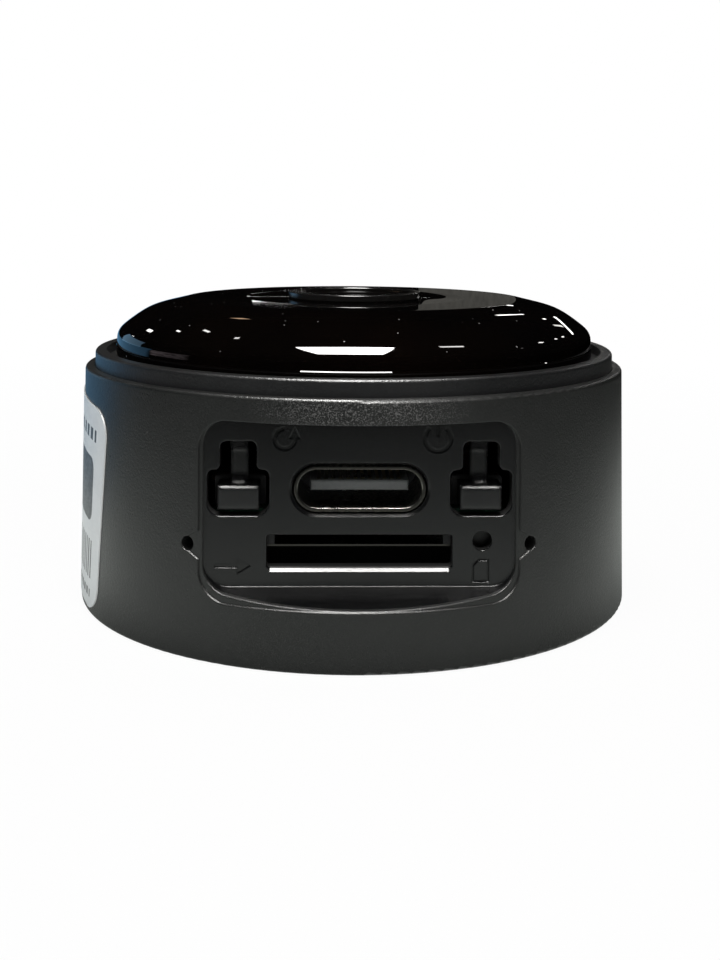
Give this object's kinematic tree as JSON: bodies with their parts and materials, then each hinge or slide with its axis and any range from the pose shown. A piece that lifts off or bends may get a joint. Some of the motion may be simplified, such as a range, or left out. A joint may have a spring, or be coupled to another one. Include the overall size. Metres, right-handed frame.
{
  "type": "mini security camera",
  "caption": "Round palm-size camera with a domed glossy front window, central lens collar, and a sunken side panel with two buttons, a USB-C socket and a memory card slot.",
  "frame": {"origin": "centre of the flat rear face, on the lens axis", "axes": "+Z along the lens axis out of the front window; -Y through the port panel; +X to the right when the port panel faces the viewer and the window is up"},
  "size_m": [0.0431, 0.043, 0.0236],
  "materials": {
    "shell_plastic": "fine spark texture",
    "bezel_plastic": "satin",
    "button_plastic": "satin",
    "window_plastic": "polished, infrared transparent",
    "label_film": "satin white sticker",
    "adhesive": "soft black",
    "collar_plastic": "satin",
    "seal_rubber": "matte",
    "barrel_metal": "black anodised",
    "lens_glass": "coated",
    "holder_plastic": "matte",
    "filter_glass": "coated",
    "sensor_package": "smooth",
    "board_laminate": "solder mask",
    "screw_steel": "black zinc",
    "socket_metal": "nickel plated",
    "socket_plastic": "matte",
    "tongue_plastic": "light grey",
    "gold_contacts": "gold plated",
    "slider_plastic": "natural",
    "spring_steel": "bright",
    "switch_body": "matte",
    "plunger_plastic": "cream",
    "led_resin": "clear over white",
    "microphone_can": "nickel",
    "battery_foil": "matte foil",
    "tape_amber": "polyimide tape",
    "foam_black": "foam tape",
    "wire_red": "soft",
    "wire_black": "soft",
    "connector_nylon": "natural",
    "magnet_nickel": "nickel plated",
    "chip_epoxy": "moulded",
    "module_can": "tin plated",
    "antenna_film": "flexible film",
    "plug_gold": "gold plated",
    "lead_grey": "soft",
    "led_board_laminate": "black solder mask",
    "infrared_resin": "smoked clear",
    "header_nylon": "matte",
    "small_ceramics": "matte"
  },
  "bodies": {
    "camera_body": {"housing": "shell_plastic", "side_label": "label_film", "front_bezel": "bezel_plastic", "front_window": "window_plastic", "window_adhesive": "adhesive", "lens_collar": "collar_plastic", "light_seal": "seal_rubber", "lens_barrel": "barrel_metal", "lens_front_element": "lens_glass", "lens_rear_element": "lens_glass", "lens_holder": "holder_plastic", "ir_filter": "filter_glass", "image_sensor": "sensor_package", "main_board": "board_laminate", "board_screws": "screw_steel", "usb_shell": "socket_metal", "usb_tongue": "tongue_plastic", "usb_contacts": "gold_contacts", "card_socket_base": "socket_plastic", "card_socket_cover": "socket_metal", "card_contacts": "gold_contacts", "card_slider_spring": "spring_steel", "reset_switch": "switch_body", "power_switch": "switch_body", "status_led": "led_resin", "charge_led": "led_resin", "microphone": "microphone_can", "microphone_boot": "seal_rubber", "battery": "battery_foil", "battery_protection_board": "tape_amber", "battery_pad": "foam_black", "battery_lead_red": "wire_red", "battery_lead_black": "wire_black", "battery_connector": "connector_nylon", "rear_magnet": "magnet_nickel", "processor": "chip_epoxy", "flash_memory": "chip_epoxy", "wifi_module": "module_can", "wifi_antenna": "antenna_film", "antenna_plug": "plug_gold", "antenna_lead": "lead_grey", "led_board": "led_board_laminate", "ir_leds": "infrared_resin", "light_sensor": "infrared_resin", "led_board_socket": "header_nylon", "board_header": "header_nylon", "board_components": "small_ceramics"},
    "reset_button": {"reset_button": "button_plastic"},
    "power_button": {"power_button": "button_plastic"},
    "reset_plunger": {"reset_plunger": "plunger_plastic"},
    "power_plunger": {"power_plunger": "plunger_plastic"},
    "card_slider": {"card_slider": "slider_plastic"}
  },
  "joints": [
    {"name": "reset_plunger_slide", "type": "slide", "parent": "camera_body", "child": "reset_plunger", "axis": [0, 1, 0], "range_m": [0, 0.000281], "stiffness_N_per_m": 1200},
    {"name": "power_plunger_slide", "type": "slide", "parent": "camera_body", "child": "power_plunger", "axis": [0, 1, 0], "range_m": [0, 0.000281], "stiffness_N_per_m": 1200},
    {"name": "reset_button_press", "type": "hinge", "parent": "camera_body", "child": "reset_button", "pos_m": [-0.00815, -0.01737, 0.01495], "axis": [1, 0, 0], "range_deg": [0, 4], "stiffness_Nm_per_rad": 0.01},
    {"name": "power_button_press", "type": "hinge", "parent": "camera_body", "child": "power_button", "pos_m": [0.00815, -0.01737, 0.01495], "axis": [1, 0, 0], "range_deg": [0, 4], "stiffness_Nm_per_rad": 0.01},
    {"name": "card_slider_slide", "type": "slide", "parent": "camera_body", "child": "card_slider", "axis": [0, 1, 0], "range_m": [0, 0.0008], "stiffness_N_per_m": 400}
  ],
  "couplings": [
    {"joint": "reset_button_press", "follows": "reset_plunger_slide", "rad_per_m": 248.4},
    {"joint": "power_button_press", "follows": "power_plunger_slide", "rad_per_m": 248.4}
  ]
}
